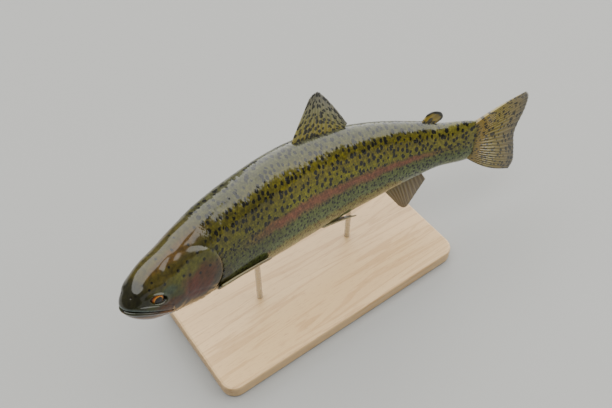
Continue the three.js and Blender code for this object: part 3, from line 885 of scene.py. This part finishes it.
PECTORAL = dict(root=[(0, 4.5), (0, -4.5)],
                margin=[(44, 1), (52, -4), (51, -12), (40, -19), (20, -14)],
                thick=3, thin=0.8, rays=13, place=(74, 13.5, -24), spread=0.75, outward=0.16)
PELVIC = dict(root=[(0, 3), (3, -4)],
              margin=[(35, 0), (39.5, -4), (39, -10), (30, -15), (14, -12)],
              thick=2.6, thin=0.8, rays=9, place=(190, 9, -38.6), spread=1.0, outward=0.14)


def fin(name, material, node, root, margin, thick, thin, rays, bow=0.0, place=None, spread=0,
        outward=0, side=1):
    """A fin as two skins that meet round its edge. Straight rays run from the root curve (v = 0)
    to the margin curve (v = 1) with u counting across; bow swells the outer rays away from the
    middle. The half thickness eases from root to margin, swells along each ray, splits into two
    swellings near the margin, and closes in a round edge. A paired fin is then turned by its
    spread and outward angles and moved to its place on its side."""
    u, v = np.meshgrid(np.linspace(0, 1, rays * RAY_COLUMNS + 1),
                       np.linspace(0, 1, FIN_ROWS) ** 0.9, indexing="ij")
    start, end = spline(root, u), spline(margin, u)
    phase = 2 * math.pi * rays * u
    end = start + (end - start) * (1 - FIN_NOTCH * (1 - np.cos(phase)))[..., None]
    flat = start + (end - start) * v[..., None]
    flat[..., 1] += bow * np.sin(math.pi * v) * (1 - 2 * u)
    half = 0.5 * (thick + (thin - thick) * v**0.6) * (0.62 + 0.38 * np.sin(math.pi * u))
    ridge = np.cos(phase) * (1 - smooth(0.5, 0.85, v)) + np.cos(2 * phase) * smooth(0.5, 0.85, v)
    half *= 1 + 0.2 * ridge * smooth(0.06, 0.3, v)
    length = np.linalg.norm(end - start, axis=-1)
    span = np.linalg.norm(flat[-1] - flat[0], axis=-1)[None, :]
    rim = np.minimum(np.minimum(u, 1 - u) * span, (1 - v) * length) / FIN_EDGE
    half *= np.sqrt(1 - (1 - np.clip(rim, 0, 1)) ** 2) * smooth(-0.02, 0.05, v)
    sway = FIN_SWAY * np.sin(3 * math.pi * u + 1) * v**2
    front = np.stack([flat[..., 0], sway + half, flat[..., 1]], -1)
    rear = np.stack([flat[..., 0], sway - half, flat[..., 1]], -1)[1:-1, 1:-1]
    numbers = np.arange(u.size).reshape(u.shape)
    other = numbers.copy()
    other[1:-1, 1:-1] = u.size + np.arange(rear[..., 0].size).reshape(rear.shape[:2])
    points = np.concatenate([front.reshape(-1, 3), rear.reshape(-1, 3)])
    if place:
        turn = (Matrix.Translation((place[0], side * place[1], place[2]))
                @ Matrix.Rotation(side * outward, 4, "Z") @ Matrix.Rotation(-side * spread, 4, "X"))
        points = points @ np.array(turn)[:3, :3].T + np.array(turn)[:3, 3]
    bake = [np.stack([0.02 + offset + 0.46 * u, 0.02 + 0.96 * v], -1) for offset in (0, 0.5)]
    maps = {"Rays": [np.stack([u * rays, v], -1)] * 2, "Flank": [flat / 100] * 2, "OFBake": bake}
    maps = {key: [ahead, behind[:, ::-1]] for key, (ahead, behind) in maps.items()}
    shape = closed_surface(name, bend(points), [numbers, other[:, ::-1]], **maps)
    place_piece(new_object(*shape), material, "fin_membrane", node)


# Webs of back, tail, fatty and lower fins: name, tones, then the rest in fin_web's order
WEBS = [
    ("spotted back fin web", [(0, 0x6A5E04), (0.3, 0x6E6620), (0.6, 0x64623E), (1, 0x66645C)],
     0.95, (1, 9), 0.5, 0.2, 0.2),
    ("spotted tail fin web", [(0, 0x564E0A), (0.12, 0x6E5608), (0.4, 0x6A5C14), (0.8, 0x5E502A),
                              (1, 0x484238)], 0.9, (0.6, 12), 0.36, 0, 0.2),
    ("fatty fin skin", [(0, 0x5A4C06), (0.5, 0x7A6610), (1, 0x4C400F)],
     0.9, (1, 2.2), 0.5, 0, 0.95),
    ("lower fin web", [(0, 0x4E441C), (0.5, 0x5A4A30), (1, 0x5E5444)],
     0, (1, 6), 0.4, 0.5, 0),
]


class TROUT_OT_fins(bpy.types.Operator):
    """Builds the eight fins"""

    bl_idname = "trout.fins"
    bl_label = "Fins"

    def execute(self, context):
        dorsal, tail, fatty, lower = (fin_web(*web) for web in WEBS)
        fin("dorsal_web", dorsal, "dorsal_fin", **DORSAL)
        fin("adipose_web", fatty, "adipose_fin", **ADIPOSE)
        fin("anal_web", lower, "anal_fin", **ANAL)
        fin("caudal_web", tail, "caudal_fin", **CAUDAL)
        for name, side in (("left", -1), ("right", 1)):
            fin("pectoral_web_" + name, lower, "pectoral_fin_" + name, side=side, **PECTORAL)
            fin("pelvic_web_" + name, lower, "pelvic_fin_" + name, side=side, **PELVIC)
        return {"FINISHED"}


# ---- Stand and studio ----
class TROUT_OT_stand(bpy.types.Operator):
    """Gives the stand its wood and steel"""

    bl_idname = "trout.stand"
    bl_label = "Stand"

    def execute(self, context):
        steel = brushed_steel()
        finishes = {"stand_base": oiled_maple(), "stand_rod_front": steel, "stand_rod_rear": steel}
        for node, material in finishes.items():
            bpy.data.objects[node].material_slots[0].material = material
        return {"FINISHED"}


# Heading of the wall of light, and of the round light with its rise
SKY_TURN = math.radians(78)
CAP_TURN, CAP_RISE = math.radians(-24), math.radians(75)
# Where each light's edge starts and ends: cosines, heights, and how much the wall narrows
SKY_REACH = (math.cos(math.radians(62.8)), math.cos(math.radians(61.2)))
SKY_GABLE = (0.745, 0.885, 0.0, 0.3)
SKY_TOP, SKY_SILL = (0.725, 0.765), (0.07, 0.13)
SKY_DIM, SKY_BRIGHT, SKY_WHITE = 0.2, 4.6, 0xFBFBF8
FLOOR_HALF = 40.0


def studio_sky():
    """Two soft lights over a dim room: a round one overhead, a little to the left, lit within
    SKY_TOP of its middle, and a tall wall of light to the right, lit within SKY_REACH of its
    heading and above SKY_SILL, and narrowing by SKY_GABLE towards its top."""
    world = bpy.data.worlds.new("studio sky")
    world.use_nodes = True
    world.node_tree.nodes.clear()
    add = partial(add_node, world.node_tree)
    facing = add("TexCoord", (), "Generated")
    height = add("SeparateXYZ", [facing], "Z")
    above = add("VectorMath DOT_PRODUCT", [facing, heading(CAP_TURN, CAP_RISE)], "Value")
    top = add("MapRange", [above, *SKY_TOP], **EASED)
    level = add("VectorMath NORMALIZE", [add("VectorMath MULTIPLY", [facing, (1, 1, 0)])])
    near = add("VectorMath DOT_PRODUCT", [level, heading(SKY_TURN, 0)], "Value")
    near = add("Math SUBTRACT", [near, add("MapRange", [height, *SKY_GABLE], **EASED)])
    side = add("MapRange", [near, *SKY_REACH], **EASED)
    side = add("Math MULTIPLY", [side, add("MapRange", [height, *SKY_SILL], **EASED)])
    lit = add("Math MAXIMUM", [top, side])
    glow = add("MapRange", [lit, 0, 1, SKY_DIM, SKY_BRIGHT])
    light = add("Background", {"Color": linear(SKY_WHITE), "Strength": glow})
    add("OutputWorld", {"Surface": light})
    return world


def heading(turn, rise):
    """Unit direction turned from +Y towards +X and risen above the level."""
    return (math.sin(turn) * math.cos(rise), math.cos(turn) * math.cos(rise), math.sin(rise))


class TROUT_OT_studio(bpy.types.Operator):
    """Builds the pale floor, the soft light and the camera"""

    bl_idname = "trout.studio"
    bl_label = "Studio"

    def execute(self, context):
        scene = context.scene
        corners = np.array([(-1, -1, 0), (1, -1, 0), (1, 1, 0), (-1, 1, 0)]) * FLOOR_HALF
        floor = new_object("floor", corners, [[0, 1, 2, 3]])
        paper, add = new_material("pale paper floor")
        surface = add("BsdfPrincipled", {"Base Color": (*scene.trout.floor, 1), "Roughness": 0.8})
        add("OutputMaterial", {"Surface": surface})
        floor.data.materials.append(paper)
        scene.world = studio_sky()
        camera = bpy.data.cameras.new("camera")
        camera.sensor_width = SENSOR
        camera.lens = SENSOR * FOCAL_PIXELS / FRAME_WIDTH
        camera.clip_start = 0.01
        obj = bpy.data.objects.new("camera", camera)
        forward = Vector(heading(LOOK_ASIDE, -LOOK_DOWN))
        turn = forward.to_track_quat("-Z", "Y").to_matrix().to_4x4()
        obj.matrix_world = Matrix.Translation(AIM - forward * DISTANCE) @ turn
        scene.collection.objects.link(obj)
        scene.camera = obj
        return {"FINISHED"}


class TROUT_PT_panel(bpy.types.Panel):
    """Lists the pieces and their sizes in the sidebar"""

    bl_idname = "TROUT_PT_panel"
    bl_label = "Rainbow trout"
    bl_space_type = "VIEW_3D"
    bl_region_type = "UI"
    bl_category = "Trout"

    def draw(self, context):
        for key in TroutLook.__annotations__:
            self.layout.prop(context.scene.trout, key)
        for operator in PIECES:
            self.layout.operator(operator.bl_idname)


PIECES = (TROUT_OT_studio, TROUT_OT_skin, TROUT_OT_scales, TROUT_OT_eyes, TROUT_OT_fins,
          TROUT_OT_stand)
CLASSES = (TroutLook, *PIECES, TROUT_PT_panel)


def register():
    for cls in CLASSES:
        bpy.utils.register_class(cls)
    bpy.types.Scene.trout = PointerProperty(type=TroutLook)


def unregister():
    del bpy.types.Scene.trout
    for cls in reversed(CLASSES):
        bpy.utils.unregister_class(cls)


def main():
    register()
    bpy.ops.trout.studio()
    bpy.ops.trout.skin()
    bpy.ops.trout.scales()
    bpy.ops.trout.eyes()
    bpy.ops.trout.fins()
    bpy.ops.trout.stand()


if __name__ == "__main__":
    main()
